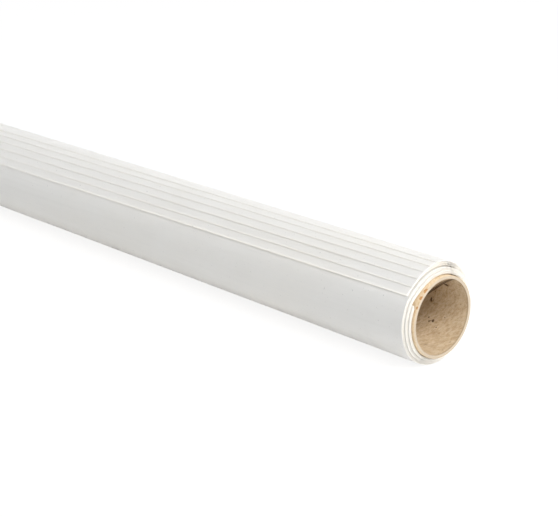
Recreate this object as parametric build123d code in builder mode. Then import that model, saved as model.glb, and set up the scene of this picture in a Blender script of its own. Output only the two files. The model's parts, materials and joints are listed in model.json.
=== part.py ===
"""Tree guard sheets wound on a cardboard core, lying down, in millimetres.

Six plastic guard sheets were laid on one another and rolled up together on a paper tube. Each sheet that
lies further out has further to go round, so the outer edges end one behind the other, like a stair.

The tube's axis is X and the origin is its middle. Z is up. Angles go from Y towards Z.
"""

import os
from dataclasses import dataclass, replace
from math import acos, cos, degrees, radians, sin

from build123d import *

# The core: a paper tube of strips glued one over the other
bore_radius = 25.4
core_length = 615.0
liner_thickness = 0.35
ply_count = 3
ply_thickness = 0.5
wrap_thickness = 0.35

# The guard sheets, as they were cut
sheet_count = 6
sheet_height = 610.0
sheet_width = 568.0
sheet_thickness = 0.25

# How they were rolled
layer_gap = 0.04  # air between one layer and the next
start_step = 1.1  # each sheet starts this far ahead of the sheet beneath it
core_play = 0.8  # radial room between the core and the innermost layer
seat_gap = 0.2  # what is left of that room below the core, which lies at the bottom of the roll
start_angle = 153.0  # where the innermost turn begins
climb_radius = 90.0  # the flatter stretch that climbs over the sheets' own beginning
bend_radius = 10.0  # the tighter stretch at its top
loose_width = 125.0  # the last stretch of the sheets, which springs off the roll
loose_lift = 0.9  # half of the furthest that it stands off

# What follows from them
wall_thickness = liner_thickness + ply_count * ply_thickness + wrap_thickness
core_radius = bore_radius + wall_thickness
roll_radius = core_radius + core_play
roll_rise = core_play - seat_gap
layer_pitch = sheet_thickness + layer_gap
stack_thickness = sheet_count * layer_pitch


@dataclass(frozen=True)
class Arc:
    """A stretch of the rolled path. Its angles are those of its outward normal."""

    centre: Vector
    radius: float
    start: float
    sweep: float

    def length(self, offset):
        """The length of the parallel arc that lies the offset further out."""
        return (self.radius + offset) * radians(self.sweep)

    def sweep_for(self, length, offset):
        """The angle that a length takes on the parallel arc."""
        return degrees(length / (self.radius + offset))


def outward(angle):
    """The unit vector that points outwards at an angle."""
    return Vector(cos(radians(angle)), sin(radians(angle)))


def angle_between(side, other_side, opposite):
    """The angle of a triangle between two sides, by the law of cosines."""
    return degrees(acos((side**2 + other_side**2 - opposite**2) / (2 * side * other_side)))


def rolled_turn(radius, stack):
    """One turn: round the roll, up over the beginning of the stack, and bent back to its round shape."""
    round_to_climb = climb_radius - radius
    climb_to_bend = climb_radius - bend_radius
    round_to_bend = radius + stack - bend_radius
    climb_sweep = angle_between(round_to_climb, climb_to_bend, round_to_bend)
    rise_sweep = 180 - angle_between(round_to_climb, round_to_bend, climb_to_bend)
    climb_start = start_angle - rise_sweep
    return [
        Arc(Vector(0, 0), radius, start_angle, 360 - rise_sweep),
        Arc(outward(climb_start) * -round_to_climb, climb_radius, climb_start, climb_sweep),
        Arc(
            outward(start_angle) * round_to_bend,
            bend_radius,
            climb_start + climb_sweep,
            rise_sweep - climb_sweep,
        ),
    ]


def rolled_path(length):
    """The whole path of the innermost face, at least as long as the length given."""
    path = []
    turns = 0
    while sum(arc.length(0) for arc in path) < length:
        lift = turns * stack_thickness
        path += [replace(arc, radius=arc.radius + lift) for arc in rolled_turn(roll_radius, stack_thickness)]
        turns += 1
    return path


def cut_path(path, length, offset):
    """The path in two, at a length along the parallel path that lies the offset further out."""
    before = []
    for index, arc in enumerate(path):
        if length < arc.length(offset):
            sweep = arc.sweep_for(length, offset)
            rest = replace(arc, start=arc.start + sweep, sweep=arc.sweep - sweep)
            return before + [replace(arc, sweep=sweep)], [rest] + path[index + 1 :]
        before.append(arc)
        length -= arc.length(offset)
    return before, []


def sprung_path(path):
    """The path with its last stretch sprung off: moved outwards all round, then back where it leaves."""
    middle = sheet_thickness / 2
    wound, loose = cut_path(path, sheet_width + start_lead(0) - loose_width, middle)
    back = outward(loose[0].start) * -loose_lift
    return wound + [replace(arc, centre=arc.centre + back, radius=arc.radius + loose_lift) for arc in loose]


def start_lead(index):
    """How far along the path a sheet begins. The outermost sheet begins first."""
    return (sheet_count - 1 - index) * start_step


def sheet_path(path, index):
    """The stretch of the path that one sheet covers."""
    middle = index * layer_pitch + sheet_thickness / 2
    rest = cut_path(path, start_lead(index), middle)[1] if start_lead(index) else path
    return cut_path(rest, sheet_width, middle)[0]


def face_curve(path, offset):
    """The edges of one face of a sheet, seen along the roll."""
    return [CenterArc(arc.centre, arc.radius + offset, arc.start, arc.sweep) for arc in path]


def core_sleeve(inner_radius, thickness):
    """One layer of the paper tube, from end to end."""
    with BuildPart() as sleeve:
        with BuildSketch(Plane.YZ.offset(-core_length / 2)):
            Circle(inner_radius + thickness)
            Circle(inner_radius, mode=Mode.SUBTRACT)
        extrude(amount=core_length)
    return sleeve.part


def guard_sheet(path, index):
    """One guard sheet, rolled up between its neighbours."""
    inner_offset = index * layer_pitch
    roll_end = Plane(origin=(-sheet_height / 2, 0, roll_rise), x_dir=(0, 1, 0), z_dir=(1, 0, 0))
    with BuildPart() as sheet:
        with BuildSketch(roll_end):
            with BuildLine():
                inner = face_curve(path, inner_offset)
                outer = face_curve(path, inner_offset + sheet_thickness)
                Line(inner[0] @ 0, outer[0] @ 0)
                Line(inner[-1] @ 1, outer[-1] @ 1)
            make_face()
        extrude(amount=sheet_height)
    return sheet.part


def save(part, name):
    """Label a finished piece and write its file."""
    part.label = name
    export_step(part, f"parts/{name}.step")


os.makedirs("parts", exist_ok=True)

# The core, from the bore outwards
save(core_sleeve(bore_radius, liner_thickness), "core_inner_liner")
for ply in range(ply_count):
    ply_radius = bore_radius + liner_thickness + ply * ply_thickness
    save(core_sleeve(ply_radius, ply_thickness), f"core_ply_{ply + 1}")
save(core_sleeve(core_radius - wrap_thickness, wrap_thickness), "core_outer_wrap")

# The guard sheets, from the innermost outwards
whole_path = sprung_path(rolled_path(sheet_width + start_lead(0)))
for sheet in range(sheet_count):
    save(guard_sheet(sheet_path(whole_path, sheet), sheet), f"guard_sheet_{sheet + 1}")
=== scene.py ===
"""A roll of white tree guard sheets on a cardboard core, lying on a pale floor.

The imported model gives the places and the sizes. This script rebuilds the eleven pieces as they are made: each
layer of the core as a strip wound in a helix with a butt seam, and each guard sheet as a thin sheet rolled up
with the others, its outer edge a little out of square. Lengths are in metres, and angles go from Y towards Z
about X.
"""

import json
import logging
import math
from dataclasses import dataclass, field, replace
from enum import Enum
from typing import Callable

import bpy
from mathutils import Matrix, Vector


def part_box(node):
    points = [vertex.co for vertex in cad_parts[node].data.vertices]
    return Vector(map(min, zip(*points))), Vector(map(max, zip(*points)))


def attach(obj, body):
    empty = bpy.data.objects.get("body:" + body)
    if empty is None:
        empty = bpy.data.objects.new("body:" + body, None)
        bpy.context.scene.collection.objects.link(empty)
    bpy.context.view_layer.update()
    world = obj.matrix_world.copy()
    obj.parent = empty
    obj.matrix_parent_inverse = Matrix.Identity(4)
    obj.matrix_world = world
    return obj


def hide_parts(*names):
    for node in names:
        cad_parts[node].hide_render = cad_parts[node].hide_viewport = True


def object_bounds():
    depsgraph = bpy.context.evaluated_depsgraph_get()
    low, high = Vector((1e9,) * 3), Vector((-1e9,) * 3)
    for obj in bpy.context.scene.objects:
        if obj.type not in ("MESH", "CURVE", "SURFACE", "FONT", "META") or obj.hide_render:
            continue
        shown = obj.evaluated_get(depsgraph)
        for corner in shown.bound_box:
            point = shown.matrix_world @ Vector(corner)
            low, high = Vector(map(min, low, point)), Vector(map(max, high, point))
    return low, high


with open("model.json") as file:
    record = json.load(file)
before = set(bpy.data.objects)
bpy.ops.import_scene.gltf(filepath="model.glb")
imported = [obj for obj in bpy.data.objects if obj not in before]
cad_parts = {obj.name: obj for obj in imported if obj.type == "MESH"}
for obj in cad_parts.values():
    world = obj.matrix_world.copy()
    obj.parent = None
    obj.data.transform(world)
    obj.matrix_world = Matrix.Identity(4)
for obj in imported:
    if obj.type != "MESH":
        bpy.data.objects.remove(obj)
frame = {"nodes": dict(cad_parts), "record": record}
cad_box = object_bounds()

MM = 0.001

log = logging.getLogger("tree_guard_roll")


# ---------------------------------------------------------------- modelling


class Side(Enum):
    """The two ends of the roll, by the sign of X."""

    NEAR = 1
    FAR = -1


def outward(angle: float) -> Vector:
    """The unit vector across the roll that points outwards at an angle in degrees.

    Args:
        angle: The angle from Y towards Z.

    Returns:
        A vector with no X part.
    """
    return Vector((0, math.cos(math.radians(angle)), math.sin(math.radians(angle))))


class Bench:
    """Hand tools for one mesh object: each method does one step of edit-mode or modifier work."""

    def __init__(self, name: str, columns: int = 1, rows: int = 1) -> None:
        """Start a new piece from a flat grid of one metre in X and Y, with nothing else selected.

        Args:
            name: The piece's name.
            columns: How many faces it has along X.
            rows: How many faces it has along Y.
        """
        if bpy.context.mode != "OBJECT":
            bpy.ops.object.mode_set(mode="OBJECT")
        bpy.ops.object.select_all(action="DESELECT")
        bpy.ops.mesh.primitive_grid_add(x_subdivisions=columns, y_subdivisions=rows, size=1)
        self.piece: bpy.types.Object = bpy.context.active_object
        self.piece.name = name
        self.piece.data.name = name

    def edit(self) -> None:
        """Go to edit mode with everything selected."""
        bpy.ops.object.mode_set(mode="EDIT")
        bpy.ops.mesh.select_all(action="SELECT")

    def done(self) -> None:
        """Go back to object mode."""
        bpy.ops.object.mode_set(mode="OBJECT")

    def group_vertices(self, name: str, weight: Callable[[Vector], float]) -> None:
        """Give the piece a vertex group whose weight depends on place.

        Args:
            name: The group's name.
            weight: Takes a vertex's place and gives its weight. Vertices of no weight stay out.
        """
        group = self.piece.vertex_groups.new(name=name)
        for vertex in self.piece.data.vertices:
            amount = weight(vertex.co)
            if amount > 0:
                group.add([vertex.index], amount, "REPLACE")

    def apply(self, kind: str, **settings: object) -> None:
        """Add a modifier, set it up and apply it.

        Args:
            kind: The modifier's type.
            settings: Its properties.
        """
        bpy.context.view_layer.objects.active = self.piece
        modifier = self.piece.modifiers.new(kind.lower(), kind)
        for key, value in settings.items():
            setattr(modifier, key, value)
        bpy.ops.object.modifier_apply(modifier=modifier.name)

    def smooth(self, angle: float) -> None:
        """Shade smoothly, with sharp edges where faces turn by more than an angle.

        Args:
            angle: The angle in degrees.
        """
        bpy.ops.object.select_all(action="DESELECT")
        self.piece.select_set(True)
        bpy.context.view_layer.objects.active = self.piece
        bpy.ops.object.shade_smooth_by_angle(angle=math.radians(angle))


# ---------------------------------------------------------------- the rolled path


@dataclass(frozen=True)
class Arc:
    """A stretch of the rolled path. Its angles, in degrees, are those of its outward normal."""

    centre: Vector
    radius: float
    start: float
    sweep: float

    def length(self, offset: float) -> float:
        """The length of the parallel arc that lies the offset further out."""
        return (self.radius + offset) * math.radians(self.sweep)

    def point(self, angle: float, offset: float) -> Vector:
        """The place on the parallel arc at an angle."""
        return self.centre + outward(angle) * (self.radius + offset)


@dataclass(frozen=True)
class Roll:
    """How the sheets were rolled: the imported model's width and turns, wound a little looser and settled."""

    core_radius: float
    sheet_height: float
    sheet_count: int
    sheet_width: float = 568.0 * MM
    sheet_thickness: float = 0.25 * MM
    full_turns: int = 3
    layer_gap: float = 0.048 * MM
    start_step: float = 0.4 * MM
    core_play: float = 0.8 * MM
    seat_gap: float = 0.2 * MM
    start_angle: float = 153.0
    climb_radius: float = 90.0 * MM
    bend_radius: float = 10.0 * MM
    loose_width: float = 125.0 * MM
    loose_lift: float = 0.9 * MM
    flap_fan: float = 0.13 * MM
    top_settle: float = 0.9 * MM

    @property
    def pitch(self) -> float:
        """From one layer to the next."""
        return self.sheet_thickness + self.layer_gap

    @property
    def stack(self) -> float:
        """The thickness of all the sheets laid on one another."""
        return self.sheet_count * self.pitch

    @property
    def wall(self) -> float:
        """The thickness of all the turns."""
        return self.full_turns * self.stack

    @property
    def middle(self) -> Vector:
        """The middle of the rolled sheets, which lie a little high on the core."""
        return Vector((0, 0, self.core_play - self.seat_gap))

    def turn(self, radius: float) -> list[Arc]:
        """One turn: round the roll, up over the sheets' beginning, and bent back to its round shape.

        Args:
            radius: The radius of the round stretch.

        Returns:
            Three arcs that meet smoothly.
        """
        to_climb = self.climb_radius - radius
        climb_to_bend = self.climb_radius - self.bend_radius
        to_bend = radius + self.stack - self.bend_radius
        climb = angle_between(to_climb, climb_to_bend, to_bend)
        rise = 180 - angle_between(to_climb, to_bend, climb_to_bend)
        foot = self.start_angle - rise
        return [
            Arc(Vector((0, 0, 0)), radius, self.start_angle, 360 - rise),
            Arc(outward(foot) * -to_climb, self.climb_radius, foot, climb),
            Arc(outward(self.start_angle) * to_bend, self.bend_radius, foot + climb, rise - climb),
        ]

    def path(self, index: int) -> list[Arc]:
        """The path of the innermost face, with its last stretch sprung off the roll.

        Args:
            index: The number of the sheet to be laid on it. Those further out spring off a little more.

        Returns:
            Arcs from the beginning of the outermost sheet to past the end of the innermost.
        """
        spare = 30 * MM
        needed = self.sheet_width + self.lead(0) + spare
        arcs: list[Arc] = []
        turns = 0
        while sum(arc.length(0) for arc in arcs) < needed:
            for arc in self.turn(self.core_radius + self.core_play):
                arcs.append(replace(arc, radius=arc.radius + turns * self.stack))
            turns += 1
        wound, loose = cut(arcs, self.sheet_width + self.lead(0) - self.loose_width, self.sheet_thickness / 2)
        lift = self.loose_lift - self.flap_fan * (self.sheet_count - 1 - index)
        back = outward(loose[0].start) * -lift
        sprung = [replace(arc, centre=arc.centre + back, radius=arc.radius + lift) for arc in loose]
        return [replace(arc, centre=arc.centre + self.middle) for arc in wound + sprung]

    def settled(self, place: Vector) -> Vector:
        """Where a place on the path ends up when the inner turns have sunk onto the top of the core."""
        spoke = place - self.middle
        inside = self.core_radius + self.core_play
        depth = 1 - (spoke.length - inside) / self.wall
        above = max(0.0, spoke.z / spoke.length)
        return place - spoke.normalized() * (self.top_settle * min(1.0, max(0.0, depth)) * above**2)

    def lead(self, index: int) -> float:
        """How far along the path a sheet begins. The outermost begins first."""
        return (self.sheet_count - 1 - index) * self.start_step

    def offset(self, index: int) -> float:
        """How far a sheet's middle surface lies outside the path."""
        return index * self.pitch + self.sheet_thickness / 2


def angle_between(side: float, other_side: float, opposite: float) -> float:
    """The angle in degrees of a triangle between two sides, by the law of cosines."""
    return math.degrees(math.acos((side**2 + other_side**2 - opposite**2) / (2 * side * other_side)))


def cut(path: list[Arc], length: float, offset: float) -> tuple[list[Arc], list[Arc]]:
    """Cut a path in two.

    Args:
        path: The arcs.
        length: Where to cut, measured along the parallel path.
        offset: How far outside the path that one lies.

    Returns:
        The arcs before the cut and those after it.
    """
    before: list[Arc] = []
    for index, arc in enumerate(path):
        if length < arc.length(offset):
            sweep = math.degrees(length / (arc.radius + offset))
            rest = replace(arc, start=arc.start + sweep, sweep=arc.sweep - sweep)
            if sweep:
                before.append(replace(arc, sweep=sweep))
            return before, [rest] + path[index + 1 :]
        before.append(arc)
        length -= arc.length(offset)
    return before, []


# ---------------------------------------------------------------- shader groups

Colour = tuple[float, float, float, float]
Socket = bpy.types.NodeSocket


@dataclass(frozen=True)
class Grain:
    """A noise pattern. A value of along below 1 draws it out along X, and low and high set its mask."""

    scale: float
    detail: float = 3.0
    rough: float = 0.5
    along: float = 1.0
    low: float = 0.0
    high: float = 1.0


class Graph:
    """A node tree with short ways to add nodes and join them."""

    def __init__(self, tree: bpy.types.NodeTree) -> None:
        """Work on a node tree."""
        self.tree = tree

    def add(
        self, kind: str, inputs: dict[str | int, object] | None = None, **settings: object
    ) -> bpy.types.Node:
        """Add a node.

        Args:
            kind: The node's type, without its ShaderNode prefix.
            inputs: Values or output sockets for its inputs, by name or number.
            settings: The node's properties.

        Returns:
            The node.
        """
        node = self.tree.nodes.new("ShaderNode" + kind)
        for key, value in settings.items():
            setattr(node, key, value)
        for key, value in (inputs or {}).items():
            if isinstance(value, Socket):
                self.tree.links.new(value, node.inputs[key])
            else:
                node.inputs[key].default_value = value
        return node

    def math(self, operation: str, first: object, second: object = 0.0, third: object = 0.0) -> Socket:
        """One step of arithmetic on numbers or sockets."""
        return self.add("Math", {0: first, 1: second, 2: third}, operation=operation).outputs[0]

    def ramp(self, value: Socket, low: float, high: float) -> Socket:
        """A smooth step from 0 at low to 1 at high, which may be the lesser."""
        span = {"Value": value, "From Min": low, "From Max": high}
        return self.add("MapRange", span, interpolation_type="SMOOTHSTEP").outputs["Result"]

    def noise(self, where: Socket, grain: Grain) -> Socket:
        """A noise value, about 0.5 on average."""
        if grain.along != 1.0:
            factors = (grain.along, 1.0, 1.0)
            where = self.add("Mapping", {"Vector": where, "Scale": factors}).outputs["Vector"]
        look = {"Scale": grain.scale, "Detail": grain.detail, "Roughness": grain.rough}
        return self.add("TexNoise", {"Vector": where, **look}).outputs["Fac"]

    def mask(self, where: Socket, grain: Grain) -> Socket:
        """A noise stepped smoothly between the grain's low and high."""
        return self.ramp(self.noise(where, grain), grain.low, grain.high)

    def tint(self, colour: object, mask: Socket, share: object, other: object) -> Socket:
        """A colour with a share of another where a mask lies."""
        return self.mix(self.math("MULTIPLY", mask, share), colour, other)

    def mix(self, amount: object, first: object, second: object) -> Socket:
        """A blend of two colours."""
        return self.add("Mix", {0: amount, 6: first, 7: second}, data_type="RGBA").outputs[2]


def shader_group(
    name: str, inputs: dict[str, float | None], outputs: list[str]
) -> tuple[Graph, dict[str, Socket], bpy.types.Node]:
    """Start a shader group that works on a vector and some numbers.

    Args:
        name: The group's name.
        inputs: Number inputs and their defaults. None makes a vector input.
        outputs: Number outputs.

    Returns:
        The group's graph, its input sockets by name, and its output node.
    """
    tree = bpy.data.node_groups.new(name, "ShaderNodeTree")
    for label, default in inputs.items():
        kind = "NodeSocketVector" if default is None else "NodeSocketFloat"
        socket = tree.interface.new_socket(label, in_out="INPUT", socket_type=kind)
        if default is not None:
            socket.default_value = default
    for label in outputs:
        tree.interface.new_socket(label, in_out="OUTPUT", socket_type="NodeSocketFloat")
    entry = tree.nodes.new("NodeGroupInput")
    exit_node = tree.nodes.new("NodeGroupOutput")
    return Graph(tree), {label: entry.outputs[label] for label in inputs}, exit_node


class SharedEffects:
    """The effects that more than one finish uses, each built once as a shader group."""

    FIBRE = Grain(900.0, 4.0, 0.66, along=0.65, low=0.36, high=0.66)
    MOTTLE = Grain(300.0, 5.0, 0.68, low=0.40, high=0.62)
    PULP = Grain(1500.0, 3.0, 0.6)
    SPECK = Grain(420.0, 2.0, along=0.45, low=0.69, high=0.74)
    WOBBLE = Grain(300.0)
    RAGGED = Grain(900.0)
    RUB = Grain(38.0, 4.0, 0.55, along=0.35, low=0.5, high=0.72)
    SCRATCH = Grain(900.0, 2.0, along=0.03, low=0.62, high=0.7)
    BREAKS = Grain(60.0, 2.0, along=0.5, low=0.48, high=0.62)
    DUST = Grain(780.0, 1.0, 0.4, low=0.74, high=0.8)

    FLECK_RAGGEDNESS = 1.1
    FLECK_RIM = (1.05, 0.75)
    # Darkening along the butt seam: partly a glue stain, partly painted shade in the seam's gap.
    SEAM_STAIN_AND_SHADE = (1.2, 0.3)
    END_FACING = (0.6, 0.9)
    # Darkening of the bore near its mouth: painted shade that fades over the last few centimetres inside each
    # end, and a thin dark band at each cut edge with its share.
    MOUTH_SHADE_REACH = 30 * MM
    RIM_DARK_BAND = (1.6 * MM, 0.4 * MM)
    RIM_DARK_SHARE = 1.6
    FIBRE_HEIGHT = 0.6
    PULP_HEIGHT = 0.4
    SCRATCH_HEIGHT = -0.5
    DUST_HEIGHT = 0.6

    def __init__(self) -> None:
        """Build the groups."""
        self.paper = self._paper()
        self.handling = self._handling()
        self.fleck = self._fleck()

    def _fleck(self) -> bpy.types.NodeTree:
        """One fleck of bark or torn paper at a chosen place.

        Returns:
            A group with the mask Fleck.
        """
        inputs = {"Vector": None, "Centre": None, "Squeeze": None, "Size": 1 * MM}
        graph, given, result = shader_group("fleck", inputs, ["Fleck"])
        away = graph.add("VectorMath", {0: given["Vector"], 1: given["Centre"]}, operation="SUBTRACT")
        away = graph.add("VectorMath", {0: away.outputs[0], 1: given["Squeeze"]}, operation="MULTIPLY")
        distance = graph.add("VectorMath", {0: away.outputs[0]}, operation="LENGTH").outputs["Value"]
        ragged = graph.noise(given["Vector"], self.RAGGED)
        ragged = graph.math("MULTIPLY_ADD", ragged, self.FLECK_RAGGEDNESS, -self.FLECK_RAGGEDNESS / 2)
        reach = graph.math("ADD", graph.math("DIVIDE", distance, given["Size"]), ragged)
        graph.tree.links.new(graph.ramp(reach, *self.FLECK_RIM), result.inputs["Fleck"])
        return graph.tree

    def _paper(self) -> bpy.types.NodeTree:
        """Pulp and fibres that run along a strip wound in a helix about X, and the strip's butt seam.

        The strip is unwound by turning each place about X against the helix, so that one line along X is one
        line along the strip.

        Returns:
            A group with the masks Fibre, Mottle, Speck, Seam, Cut_End and one for the bore mouth's darkening
            (painted shade plus a dark band at the cut edge), and a Height.
        """
        inputs = {"Vector": None, "Normal": None, "Pitch": 200 * MM, "Seam_Angle": 0.0}
        inputs |= {"Seam_Width": 0.5 * MM, "Half_Length": 300 * MM}
        outputs = ["Fibre", "Mottle", "Speck", "Seam", "Cut_End", "Mouth_Dark", "Height"]
        graph, given, result = shader_group("wound_paper", inputs, outputs)
        along = graph.add("SeparateXYZ", {0: given["Vector"]}).outputs["X"]
        wound = graph.math("DIVIDE", graph.math("MULTIPLY", along, 2 * math.pi), given["Pitch"])
        back = graph.math("MULTIPLY", graph.math("ADD", wound, given["Seam_Angle"]), -1.0)
        unwound = {"Vector": given["Vector"], "Angle": back}
        strip = graph.add("VectorRotate", unwound, rotation_type="X_AXIS").outputs["Vector"]
        side = graph.add("SeparateXYZ", {0: strip})
        far_half = graph.math("LESS_THAN", side.outputs["Y"], 0.0)
        off_seam = graph.math("ADD", graph.math("ABSOLUTE", side.outputs["Z"]), far_half)
        wobble = graph.math("MULTIPLY", graph.noise(given["Vector"], self.WOBBLE), given["Seam_Width"])
        widths = graph.math("DIVIDE", graph.math("SUBTRACT", off_seam, wobble), given["Seam_Width"])
        facing = graph.add("SeparateXYZ", {0: given["Normal"]}).outputs["X"]
        depth = graph.math("SUBTRACT", given["Half_Length"], graph.math("ABSOLUTE", along))
        # Painted shade: the bore darker towards each cut end.
        mouth_darkening = graph.ramp(depth, self.MOUTH_SHADE_REACH, 0.0)
        fibre = graph.noise(strip, self.FIBRE)
        pulp = graph.math("MULTIPLY", graph.noise(given["Vector"], self.PULP), self.PULP_HEIGHT)
        made = {
            "Fibre": graph.ramp(fibre, self.FIBRE.low, self.FIBRE.high),
            "Mottle": graph.mask(strip, self.MOTTLE),
            "Speck": graph.mask(strip, self.SPECK),
            # Seam mask: glue stain and painted shade along the butt seam.
            "Seam": graph.ramp(widths, *self.SEAM_STAIN_AND_SHADE),
            "Cut_End": graph.ramp(graph.math("ABSOLUTE", facing), *self.END_FACING),
            # Darkening at the bore's mouth: the dark band at each cut edge plus the painted shade towards the
            # ends.
            "Mouth_Dark": graph.math("MULTIPLY_ADD", graph.ramp(depth, *self.RIM_DARK_BAND), self.RIM_DARK_SHARE, mouth_darkening),
            "Height": graph.math("MULTIPLY_ADD", fibre, self.FIBRE_HEIGHT, pulp),
        }
        for label, socket in made.items():
            graph.tree.links.new(socket, result.inputs[label])
        return graph.tree

    def _handling(self) -> bpy.types.NodeTree:
        """What handling leaves on a smooth surface: rubbed patches, fine scratches along the roll and dust.

        Returns:
            A group with the masks Rub, Scratch and Dust, and a Height.
        """
        outputs = ["Rub", "Scratch", "Dust", "Height"]
        graph, given, result = shader_group("handling_marks", {"Vector": None, "Amount": 1.0}, outputs)
        where, amount = given["Vector"], given["Amount"]
        scratch = graph.math("MULTIPLY", graph.mask(where, self.SCRATCH), graph.mask(where, self.BREAKS))
        dust = graph.math("MULTIPLY", graph.mask(where, self.DUST), amount)
        raised = graph.math("MULTIPLY", dust, self.DUST_HEIGHT)
        made = {
            "Rub": graph.math("MULTIPLY", graph.mask(where, self.RUB), amount),
            "Scratch": graph.math("MULTIPLY", scratch, amount),
            "Dust": dust,
            "Height": graph.math("MULTIPLY_ADD", scratch, self.SCRATCH_HEIGHT, raised),
        }
        for label, socket in made.items():
            graph.tree.links.new(socket, result.inputs[label])
        return graph.tree


# ---------------------------------------------------------------- finishes


def new_material(name: str) -> tuple[bpy.types.Material, Graph, bpy.types.Node]:
    """Start a material.

    Args:
        name: Its name.

    Returns:
        The material, its graph and its shader.
    """
    material = bpy.data.materials.new(name)
    material.use_nodes = True
    return material, Graph(material.node_tree), material.node_tree.nodes["Principled BSDF"]


@dataclass(frozen=True)
class GuardPlastic:
    """Smooth white plastic sheet with a satin skin."""

    name: str = "guard_plastic"
    white: Colour = (0.972, 0.916, 0.822, 1.0)
    grey: Colour = (0.912, 0.856, 0.762, 1.0)
    warm: Colour = (0.952, 0.886, 0.777, 1.0)
    dust: Colour = (0.480, 0.440, 0.380, 1.0)
    cloud: Grain = Grain(14.0, along=0.5, low=0.42, high=0.72)
    drawn: Grain = Grain(420.0, along=0.02, low=0.45, high=0.75)
    ripple: Grain = Grain(190.0, 2.0, along=0.08)
    drawn_share: float = 0.35
    rub_share: float = 0.35
    scratch_share: float = 0.45
    dust_share: float = 0.5
    roughness: float = 0.5
    rub_rough: float = 0.16
    drawn_rough: float = 0.06
    drawn_rough_step: tuple[float, float] = (0.3, 0.7)
    bump_strength: float = 0.35
    bump_depth: float = 0.02 * MM
    specular: float = 0.3
    soak: float = 0.85
    soak_depth: float = 2.3 * MM
    soak_radius: tuple[float, float, float] = (1.0, 0.97, 0.93)

    def build(self, effects: SharedEffects) -> bpy.types.Material:
        """Make the material.

        Args:
            effects: The shared shader groups.

        Returns:
            The material.
        """
        material, graph, shader = new_material(self.name)
        where = graph.add("TexCoord").outputs["Object"]
        marks = graph.add("Group", {"Vector": where, "Amount": 1.0}, node_tree=effects.handling)
        drawn = graph.noise(where, self.drawn)
        drawn_mask = graph.ramp(drawn, self.drawn.low, self.drawn.high)
        colour = graph.mix(graph.mask(where, self.cloud), self.white, self.warm)
        colour = graph.tint(colour, drawn_mask, self.drawn_share, self.grey)
        colour = graph.tint(colour, marks.outputs["Rub"], self.rub_share, self.grey)
        colour = graph.tint(colour, marks.outputs["Scratch"], self.scratch_share, self.grey)
        colour = graph.tint(colour, marks.outputs["Dust"], self.dust_share, self.dust)
        graph.tree.links.new(colour, shader.inputs["Base Color"])
        rough = graph.math("MULTIPLY_ADD", marks.outputs["Rub"], self.rub_rough, self.roughness)
        drawn_rough = graph.ramp(drawn, *self.drawn_rough_step)
        rough = graph.math("MULTIPLY_ADD", drawn_rough, self.drawn_rough, rough)
        graph.tree.links.new(rough, shader.inputs["Roughness"])
        height = graph.math("ADD", graph.noise(where, self.ripple), marks.outputs["Height"])
        relief = {"Height": height, "Strength": self.bump_strength, "Distance": self.bump_depth}
        graph.tree.links.new(graph.add("Bump", relief).outputs["Normal"], shader.inputs["Normal"])
        shader.inputs["Specular IOR Level"].default_value = self.specular
        shader.inputs["Subsurface Weight"].default_value = self.soak
        shader.inputs["Subsurface Radius"].default_value = self.soak_radius
        shader.inputs["Subsurface Scale"].default_value = self.soak_depth
        return material


@dataclass(frozen=True)
class Fleck:
    """A fleck at a place on the core: its depth from the near end, its angle round the core and its shape."""

    depth: float
    angle: float
    size: float
    squeeze: tuple[float, float, float] = (1.0, 1.0, 1.0)


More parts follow.
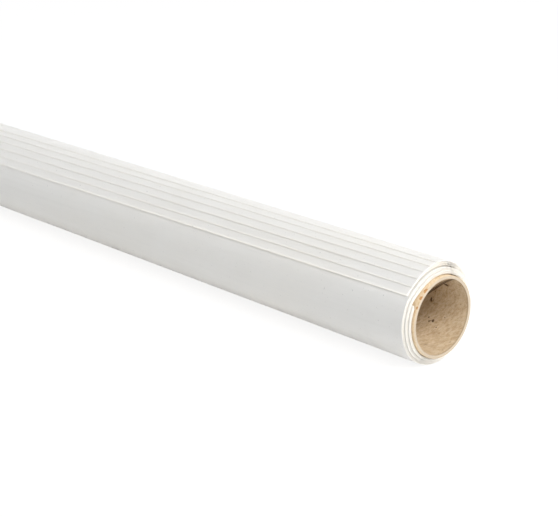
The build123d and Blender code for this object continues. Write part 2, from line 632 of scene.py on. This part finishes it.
@dataclass(frozen=True)
class PaperBoard:
    """Core board or kraft paper, with pulp fibres that run along the strip."""

    name: str
    base: Colour
    dark: Colour
    pale: Colour
    end: Colour
    fleck: Colour
    mottle_share: float = 0.8
    fibre_share: float = 0.5
    rub_share: float = 0.5
    speck_share: float = 0.85
    fleck_share: float = 0.9
    end_share: float = 0.6
    end_fibre_share: float = 0.35
    roughness: float = 0.85
    rub_rough: float = -0.12
    bump_strength: float = 0.7
    bump_depth: float = 0.09 * MM
    specular: float = 0.25
    rubbed: float = 0.4
    seam_width: float = 0.7 * MM
    # Darkening along the butt seam: partly a glue stain, partly painted shade in the seam's gap.
    seam_stain_and_shade: float = 0.0
    # Darkening at the bore's mouth, painted shade with a dark band at the cut edge: its share and its colour.
    mouth_darkening: float = 0.0
    mouth_dark_colour: Colour = (0.330, 0.250, 0.160, 1.0)
    flecks: tuple[Fleck, ...] = ()

    def build(
        self, effects: SharedEffects, pitch: float, seam_angle: float, half: float, radius: float
    ) -> bpy.types.Material:
        """Make the material.

        Args:
            effects: The shared shader groups.
            pitch: How far along X the strip goes in a turn.
            seam_angle: Where its seam crosses the middle of the core, in degrees.
            half: Half the core's length.
            radius: The radius of the surface that the flecks lie on.

        Returns:
            The material.
        """
        material, graph, shader = new_material(self.name)
        coordinates = graph.add("TexCoord")
        where = coordinates.outputs["Object"]
        marks = graph.add("Group", {"Vector": where, "Amount": self.rubbed}, node_tree=effects.handling)
        wound = {"Vector": where, "Normal": coordinates.outputs["Normal"], "Pitch": pitch}
        wound |= {"Seam_Angle": math.radians(seam_angle), "Seam_Width": self.seam_width, "Half_Length": half}
        paper = graph.add("Group", wound, node_tree=effects.paper)
        colour = graph.tint(self.base, paper.outputs["Mottle"], self.mottle_share, self.dark)
        colour = graph.tint(colour, paper.outputs["Fibre"], self.fibre_share, self.pale)
        colour = graph.tint(colour, marks.outputs["Rub"], self.rub_share, self.pale)
        colour = graph.tint(colour, paper.outputs["Speck"], self.speck_share, self.fleck)
        # Glue stain and painted shade along the butt seam.
        colour = graph.tint(colour, paper.outputs["Seam"], self.seam_stain_and_shade, self.fleck)
        # Painted shade and a dark band at the bore's mouth.
        colour = graph.tint(colour, paper.outputs["Mouth_Dark"], self.mouth_darkening, self.mouth_dark_colour)
        worn = graph.math("MULTIPLY_ADD", paper.outputs["Fibre"], self.end_fibre_share, self.end_share)
        colour = graph.tint(colour, paper.outputs["Cut_End"], worn, self.end)
        for fleck in self.flecks:
            centre = Vector((half - fleck.depth, 0, 0)) + outward(fleck.angle) * radius
            shape = {"Vector": where, "Centre": centre, "Squeeze": fleck.squeeze, "Size": fleck.size}
            mark = graph.add("Group", shape, node_tree=effects.fleck)
            colour = graph.tint(colour, mark.outputs["Fleck"], self.fleck_share, self.fleck)
        graph.tree.links.new(colour, shader.inputs["Base Color"])
        rough = graph.math("MULTIPLY_ADD", marks.outputs["Rub"], self.rub_rough, self.roughness)
        graph.tree.links.new(rough, shader.inputs["Roughness"])
        relief = {"Height": paper.outputs["Height"], "Strength": self.bump_strength}
        relief["Distance"] = self.bump_depth
        graph.tree.links.new(graph.add("Bump", relief).outputs["Normal"], shader.inputs["Normal"])
        shader.inputs["Specular IOR Level"].default_value = self.specular
        return material


@dataclass(frozen=True)
class StudioFloor:
    """A plain white floor that fades to pure white where nothing shades it."""

    name: str = "studio_floor"
    white: Colour = (0.90, 0.90, 0.90, 1.0)
    speck: Colour = (0.86, 0.86, 0.86, 1.0)
    light: Colour = (1.0, 1.0, 1.0, 1.0)
    grain: Grain = Grain(60.0)
    grain_share: float = 0.02
    least_white: float = 0.99
    glow: float = 0.85

    def build(self) -> bpy.types.Material:
        """Make the material: plain diffuse white, mixed for the camera with white light of strength 1.

        Returns:
            The material.
        """
        material, graph, shader = new_material(self.name)
        graph.tree.nodes.remove(shader)
        grain = graph.noise(graph.add("TexCoord").outputs["Object"], self.grain)
        whiteness = graph.math("MULTIPLY_ADD", grain, self.grain_share, self.least_white)
        paint = graph.add("BsdfDiffuse", {"Color": graph.mix(whiteness, self.speck, self.white)})
        light = graph.add("Emission", {"Color": self.light, "Strength": 1.0})
        ray = graph.add("LightPath")
        seen = graph.math("MAXIMUM", ray.outputs["Is Camera Ray"], ray.outputs["Is Glossy Ray"])
        seen = graph.math("MAXIMUM", seen, ray.outputs["Is Transmission Ray"])
        share = graph.math("MULTIPLY", seen, self.glow)
        mixed = graph.add("MixShader", {0: share, 1: paint.outputs[0], 2: light.outputs[0]})
        output = graph.tree.nodes["Material Output"]
        graph.tree.links.new(mixed.outputs[0], output.inputs["Surface"])
        return material


# ---------------------------------------------------------------- the core


class Layer(Enum):
    """The layers of the core, from the bore outwards, by node name."""

    LINER = "core_inner_liner"
    FIRST_PLY = "core_ply_1"
    SECOND_PLY = "core_ply_2"
    THIRD_PLY = "core_ply_3"
    WRAP = "core_outer_wrap"


LINER = PaperBoard(
    "liner_board",
    base=(0.562, 0.426, 0.270, 1.0),
    dark=(0.370, 0.235, 0.115, 1.0),
    pale=(0.720, 0.620, 0.480, 1.0),
    end=(0.460, 0.395, 0.315, 1.0),
    fleck=(0.075, 0.040, 0.022, 1.0),
    seam_stain_and_shade=0.8,
    # Painted shade and a dark band at the bore's mouth.
    mouth_darkening=0.3,
    flecks=(
        Fleck(16.7 * MM, 29.0, 0.9 * MM, (0.45, 1.0, 0.8)),
        Fleck(31.8 * MM, -6.0, 0.8 * MM, (1.0, 1.0, 0.4)),
        Fleck(25.6 * MM, -36.0, 1.2 * MM),
        Fleck(30.0 * MM, -33.0, 0.6 * MM),
        Fleck(17.5 * MM, -25.5, 0.45 * MM),
        Fleck(20.7 * MM, -44.0, 0.45 * MM),
    ),
)
BOARD = PaperBoard(
    "core_board",
    base=(0.580, 0.475, 0.345, 1.0),
    dark=(0.470, 0.360, 0.230, 1.0),
    pale=(0.680, 0.600, 0.480, 1.0),
    end=(0.455, 0.390, 0.305, 1.0),
    fleck=(0.240, 0.150, 0.080, 1.0),
)
WRAP = PaperBoard(
    "core_wrap",
    base=(0.600, 0.470, 0.310, 1.0),
    dark=(0.500, 0.360, 0.215, 1.0),
    pale=(0.680, 0.570, 0.420, 1.0),
    end=(0.490, 0.395, 0.272, 1.0),
    fleck=(0.400, 0.190, 0.060, 1.0),
    roughness=0.7,
    seam_width=0.3 * MM,
    seam_stain_and_shade=0.3,
    flecks=(
        Fleck(0.4 * MM, 127.0, 1.9 * MM),
        Fleck(0.3 * MM, 139.0, 1.5 * MM),
        Fleck(0.2 * MM, 153.0, 1.2 * MM),
    ),
)
BOARDS = {
    Layer.LINER: LINER,
    Layer.FIRST_PLY: BOARD,
    Layer.SECOND_PLY: BOARD,
    Layer.THIRD_PLY: BOARD,
    Layer.WRAP: WRAP,
}


@dataclass
class PaperCore:
    """The paper tube: five strips wound in a helix, one over the other, and cut square at both ends."""

    length: float
    bore_radius: float
    strip_pitch: float = 203.6 * MM
    seam: float = 0.3 * MM
    seam_at_end: float = 64.6
    seam_turn: float = 137.5
    glue_line: float = 0.015 * MM
    steps: int = 150
    edge_wear: float = 0.09 * MM
    worn_angle: float = 60.0
    smooth_angle: float = 35.0

    def build(self, effects: SharedEffects) -> list[bpy.types.Object]:
        """Make all the layers and dress them.

        Args:
            effects: The shared shader groups.

        Returns:
            The pieces, from the bore outwards.
        """
        pieces = []
        for place, layer in enumerate(Layer):
            low, high = self.wall(layer)
            piece = self.strip(layer.value, low, high, place)
            seen_radius = high if layer is Layer.WRAP else low
            seam = self.seam_in_middle(place)
            finish = BOARDS[layer].build(effects, self.strip_pitch, seam, self.length / 2, seen_radius)
            piece.data.materials.append(finish)
            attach(piece, "core")
            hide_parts(layer.value)
            pieces.append(piece)
            log.info("%s: %d faces", piece.name, len(piece.data.polygons))
        return pieces

    def wall(self, layer: Layer) -> tuple[float, float]:
        """The inner and outer radius of a layer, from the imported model.

        Args:
            layer: The layer.

        Returns:
            The two radii. The inner is the outer of the layer beneath.
        """
        names = [each.value for each in Layer]
        place = names.index(layer.value)
        low = self.bore_radius if place == 0 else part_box(names[place - 1])[1].z
        return low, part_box(layer.value)[1].z

    def seam_in_middle(self, place: int) -> float:
        """The angle at which a layer's seam crosses the middle of the core.

        Args:
            place: The layer's number, from the bore outwards.

        Returns:
            The angle in degrees.
        """
        return self.seam_at_end + self.seam_turn * place - 360 * self.length / 2 / self.strip_pitch

    def strip(self, name: str, low: float, high: float, place: int) -> bpy.types.Object:
        """Wind one strip of board into a tube and cut it square at both ends.

        Args:
            name: The piece's name.
            low: The layer's inner radius.
            high: The layer's outer radius.
            place: Its number, which sets where its seam lies.

        Returns:
            The piece.
        """
        spare_turns = 3
        turns = math.ceil(self.length / self.strip_pitch) + spare_turns
        quarter = 90
        crossing = self.strip_pitch * (quarter - self.seam_in_middle(place)) / 360
        start = crossing % self.strip_pitch - self.strip_pitch * math.ceil(turns / 2 + 1)
        thickness = high - low - (self.glue_line if place else 0.0)
        width = self.strip_pitch - self.seam
        bench = Bench(name)
        bench.edit()
        bpy.ops.transform.rotate(value=math.pi / 2, orient_axis="X", center_override=(0, 0, 0))
        bpy.ops.transform.resize(value=(width, 1, thickness), center_override=(0, 0, 0))
        bpy.ops.transform.translate(value=(start + self.seam / 2 + width / 2, 0, high - thickness / 2))
        bpy.ops.mesh.delete(type="ONLY_FACE")
        bench.done()
        bench.apply(
            "SCREW",
            axis="X",
            angle=2 * math.pi,
            screw_offset=self.strip_pitch,
            iterations=turns,
            steps=self.steps,
            render_steps=self.steps,
            use_smooth_shade=True,
        )
        bench.edit()
        for side in Side:
            bpy.ops.mesh.select_all(action="SELECT")
            bpy.ops.mesh.bisect(
                plane_co=(side.value * self.length / 2, 0, 0),
                plane_no=(side.value, 0, 0),
                use_fill=True,
                clear_outer=True,
            )
        bpy.ops.mesh.select_all(action="SELECT")
        bpy.ops.mesh.normals_make_consistent(inside=False)
        bench.done()
        bench.apply(
            "BEVEL",
            width=self.edge_wear,
            segments=2,
            limit_method="ANGLE",
            angle_limit=math.radians(self.worn_angle),
        )
        bench.smooth(self.smooth_angle)
        return bench.piece


# ---------------------------------------------------------------- the guard sheets


@dataclass
class GuardSheets:
    """The guard sheets. Each is laid flat, trimmed to size and rolled up with the others."""

    roll: Roll
    columns: int = 44
    rows: int = 480
    spare: float = 8.0 * MM
    feed_angle: float = 0.4555
    edge_skew: float = 10.5
    near_inset: float = 1.3 * MM
    end_shifts: tuple[float, ...] = (-0.08 * MM, 0.12 * MM, -0.02 * MM, 0.15 * MM, -0.1 * MM, 0.05 * MM)
    droop: float = 0.11 * MM
    droop_width: float = 7.0 * MM
    waves: float = 0.25 * MM
    wave_size: float = 0.09
    uneven_end: float = 0.9 * MM
    uneven_size: float = 0.028
    end_zone: float = 30.0 * MM
    edge_bevel: float = 0.05 * MM
    bevel_angle: float = 50.0
    smooth_angle: float = 30.0

    def build(self, core_length: float, finish: bpy.types.Material) -> list[bpy.types.Object]:
        """Make all the sheets and dress them.

        Args:
            core_length: The core's length, which the near ends are measured from.
            finish: Their material.

        Returns:
            The pieces, from the innermost outwards.
        """
        near_end = core_length / 2 - self.near_inset
        pieces = []
        for index in range(self.roll.sheet_count):
            name = f"guard_sheet_{index + 1}"
            bench = self.flat_sheet("rolled_" + name, index, near_end)
            self.roll_up(bench, index)
            self.finish_shape(bench)
            piece = bench.piece
            piece.data.materials.append(finish)
            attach(piece, "wound_sheets")
            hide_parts(name)
            pieces.append(piece)
            log.info("%s: %d faces", piece.name, len(piece.data.polygons))
        return pieces

    def flat_sheet(self, name: str, index: int, near_end: float) -> Bench:
        """Lay one sheet flat and trim it. Its height runs along X, and it rolls up along Y from the origin.

        Args:
            name: The piece's name.
            index: The sheet's number, from the innermost.
            near_end: Where its inner corner at the near end goes along X.

        Returns:
            The bench that holds the sheet.
        """
        width = self.roll.sheet_width + 2 * self.spare
        bench = Bench(name, self.columns, self.rows)
        bench.edit()
        bpy.ops.transform.resize(value=(self.roll.sheet_height, width, 1), center_override=(0, 0, 0))
        bpy.ops.transform.translate(value=(0, width / 2 - self.spare, 0))
        skew = -math.radians(self.feed_angle)
        bpy.ops.transform.rotate(value=skew, orient_axis="Z", center_override=(0, 0, 0))
        shift = near_end - self.roll.sheet_height / 2 + self.end_shifts[index % len(self.end_shifts)]
        bpy.ops.transform.translate(value=(shift, 0, 0))
        bpy.ops.mesh.flip_normals()
        bpy.ops.mesh.bisect(plane_co=(0, 0, 0), plane_no=(0, -1, 0), clear_outer=True)
        bpy.ops.mesh.select_all(action="SELECT")
        radius = self.roll.core_radius + self.roll.wall
        skewed = math.radians(self.edge_skew) * radius
        slope = Vector((skewed, self.roll.sheet_height, 0)).normalized()
        bpy.ops.mesh.bisect(plane_co=(0, self.roll.sheet_width, 0), plane_no=slope, clear_outer=True)
        bench.done()
        width, half = self.roll.sheet_width, self.roll.sheet_height / 2

        def by_free_edge(place: Vector) -> float:
            """The weight of a vertex for the free edge's droop."""
            return self.near(width - place.y - slope.x * place.x, self.droop_width)

        def by_end(place: Vector) -> float:
            """The weight of a vertex for the uneven ends."""
            return self.near(half - abs(place.x), self.end_zone)

        bench.group_vertices("free_edge", by_free_edge)
        bench.group_vertices("ends", by_end)
        return bench

    @staticmethod
    def near(distance: float, reach: float) -> float:
        """A weight that falls from 1 at an edge to 0 at its reach."""
        return min(1.0, max(0.0, 1 - distance / reach)) ** 2

    def roll_up(self, bench: Bench, index: int) -> None:
        """Bend the flat sheet along its own line through the roll.

        Args:
            bench: The bench that holds the sheet.
            index: The sheet's number, from the innermost.
        """
        offset = self.roll.offset(index)
        arcs = cut(self.roll.path(index), self.roll.lead(index), offset)[1]
        guide = guide_curve(arcs, offset, self.roll.settled)
        bench.apply("CURVE", object=guide, deform_axis="POS_X")
        bpy.data.objects.remove(guide)

    def finish_shape(self, bench: Bench) -> None:
        """Make the sheet a little uneven, let its free edge droop, thicken it and soften its edges.

        Args:
            bench: The bench that holds the sheet.
        """
        broad = cloud("sheet_waves", self.wave_size)
        bench.apply("DISPLACE", texture=broad, texture_coords="LOCAL", strength=self.waves, mid_level=0.5)
        bench.apply("DISPLACE", strength=-self.droop, mid_level=0.0, vertex_group="free_edge")
        uneven = cloud("uneven_ends", self.uneven_size)
        bench.apply(
            "DISPLACE",
            texture=uneven,
            texture_coords="LOCAL",
            direction="X",
            strength=self.uneven_end,
            mid_level=0.5,
            vertex_group="ends",
        )
        bench.apply("SOLIDIFY", thickness=self.roll.sheet_thickness, offset=0.0)
        bench.apply(
            "BEVEL",
            width=self.edge_bevel,
            segments=1,
            limit_method="ANGLE",
            angle_limit=math.radians(self.bevel_angle),
        )
        bench.piece.vertex_groups.clear()
        bench.smooth(self.smooth_angle)


def cloud(name: str, size: float) -> bpy.types.Texture:
    """A soft cloud texture for displacing, made once and used by every sheet so that they stay nested.

    Args:
        name: The texture's name.
        size: The size of its features.

    Returns:
        The texture.
    """
    texture = bpy.data.textures.get(name) or bpy.data.textures.new(name, "CLOUDS")
    texture.noise_scale = size
    texture.noise_depth = 1
    return texture


def guide_curve(
    arcs: list[Arc],
    offset: float,
    settled: Callable[[Vector], Vector],
    piece: float = 15.0,
    resolution: int = 20,
) -> bpy.types.Object:
    """A helper curve through arcs, to roll a sheet along.

    Its own X, Y and Z lie along the roll's Y, Z and X.

    Args:
        arcs: Arcs that meet smoothly.
        offset: How far outside them the curve runs.
        settled: Moves each place on the curve a little.
        piece: The most degrees that one span of the curve turns.
        resolution: The points that each span is drawn with.

    Returns:
        The curve's object.
    """
    spans: list[tuple[Arc, float, float]] = []
    for arc in arcs:
        count = math.ceil(arc.sweep / piece)
        for step in range(count):
            spans.append((arc, arc.start + arc.sweep * step / count, arc.sweep / count))
    guide = bpy.data.curves.new("guide", "CURVE")
    guide.dimensions = "2D"
    guide.resolution_u = resolution
    spline = guide.splines.new("BEZIER")
    spline.bezier_points.add(len(spans))
    for point in spline.bezier_points:
        point.handle_left_type = point.handle_right_type = "FREE"
    for index, (arc, angle, sweep) in enumerate(spans):
        reach = 4 / 3 * math.tan(math.radians(sweep) / 4) * (arc.radius + offset)
        first, last = spline.bezier_points[index], spline.bezier_points[index + 1]
        for point, turned in ((first, angle), (last, angle + sweep)):
            place, forward = arc.point(turned, offset), outward(turned + 90) * reach
            on_curve = settled(place)
            point.co = (on_curve.y, on_curve.z, 0)
            if point == first:
                handle = settled(place + forward)
                point.handle_right = (handle.y, handle.z, 0)
            else:
                handle = settled(place - forward)
                point.handle_left = (handle.y, handle.z, 0)
    spline.bezier_points[0].handle_left = spline.bezier_points[0].co
    spline.bezier_points[-1].handle_right = spline.bezier_points[-1].co
    holder = bpy.data.objects.new("guide", guide)
    holder.rotation_mode = "QUATERNION"
    holder.rotation_quaternion = (0.5, 0.5, 0.5, 0.5)
    bpy.context.scene.collection.objects.link(holder)
    return holder


# ---------------------------------------------------------------- the studio


@dataclass
class Studio:
    """Floor, light and camera."""

    floor_height: float
    near_end: float
    stand_off: tuple[float, float, float] = (0.57078, -0.67529, 0.33433)
    heading: float = 47.018
    pitch_down: float = 18.548
    lens: float = 94.5
    sensor: float = 36.0
    nearest: float = 10.0 * MM
    floor_size: float = 12.0
    white: Colour = (1.0, 1.0, 1.0, 1.0)
    dome: float = 0.98
    soft_box_size: float = 1.2
    soft_box_place: Vector = field(default_factory=lambda: Vector((1.8, -0.1, 1.5)))
    soft_box_power: float = 38.0

    def build(self) -> None:
        """Set up the camera first, then the floor and the light."""
        self.camera()
        self.floor()
        self.light()
        bpy.context.scene.view_settings.view_transform = "Standard"

    def camera(self) -> None:
        """A long lens that looks down on the near end from the front right."""
        camera = bpy.data.cameras.new("studio_camera")
        camera.lens = self.lens
        camera.sensor_width = self.sensor
        camera.sensor_fit = "HORIZONTAL"
        camera.clip_start = self.nearest
        holder = bpy.data.objects.new("studio_camera", camera)
        bpy.context.scene.collection.objects.link(holder)
        ahead, aside, above = self.stand_off
        holder.location = (self.near_end + ahead, aside, above)
        holder.rotation_euler = (math.radians(90 - self.pitch_down), 0, math.radians(self.heading))
        bpy.context.scene.camera = holder

    def floor(self) -> None:
        """A large plane just under the roll."""
        bench = Bench("studio_floor")
        bench.edit()
        size = (self.floor_size, self.floor_size, 1)
        bpy.ops.transform.resize(value=size, center_override=(0, 0, 0))
        bpy.ops.transform.translate(value=(0, 0, self.floor_height))
        bench.done()
        bench.piece.data.materials.append(StudioFloor().build())

    def light(self) -> None:
        """An even white room and one large soft box, high behind the near end."""
        world = bpy.data.worlds.new("studio_room")
        world.use_nodes = True
        graph = Graph(world.node_tree)
        shine = world.node_tree.nodes["Background"]
        shine.inputs["Color"].default_value = self.white
        ray = graph.add("LightPath")
        seen = graph.math("MAXIMUM", ray.outputs["Is Camera Ray"], ray.outputs["Is Transmission Ray"])
        strength = graph.math("MULTIPLY_ADD", seen, 1.0 - self.dome, self.dome)
        graph.tree.links.new(strength, shine.inputs["Strength"])
        bpy.context.scene.world = world
        lamp = bpy.data.lights.new("soft_box", "AREA")
        lamp.shape = "DISK"
        lamp.size = self.soft_box_size
        lamp.energy = self.soft_box_power
        holder = bpy.data.objects.new("soft_box", lamp)
        bpy.context.scene.collection.objects.link(holder)
        holder.location = self.soft_box_place
        holder.rotation_euler = (-self.soft_box_place).to_track_quat("-Z", "Y").to_euler()


# ---------------------------------------------------------------- all together


def main() -> None:
    """Build the studio, the core and the sheets in order."""
    logging.basicConfig(level=logging.INFO, format="%(name)s: %(message)s")
    mounts = {mount["name"]: mount for mount in frame["record"]["mounts"]}
    bore = mounts["core_bore"]["dims"]
    Studio(floor_height=cad_box[0].z, near_end=bore["length_mm"] / 2 * MM).build()
    effects = SharedEffects()
    core = PaperCore(length=bore["length_mm"] * MM, bore_radius=bore["r_mm"] * MM)
    core.build(effects)
    sheet_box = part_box("guard_sheet_1")
    roll = Roll(
        core_radius=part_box(Layer.WRAP.value)[1].z,
        sheet_height=sheet_box[1].x - sheet_box[0].x,
        sheet_count=len([name for name in frame["nodes"] if name.startswith("guard_sheet_")]),
    )
    GuardSheets(roll).build(core.length, GuardPlastic().build(effects))


if __name__ == "__main__":
    main()
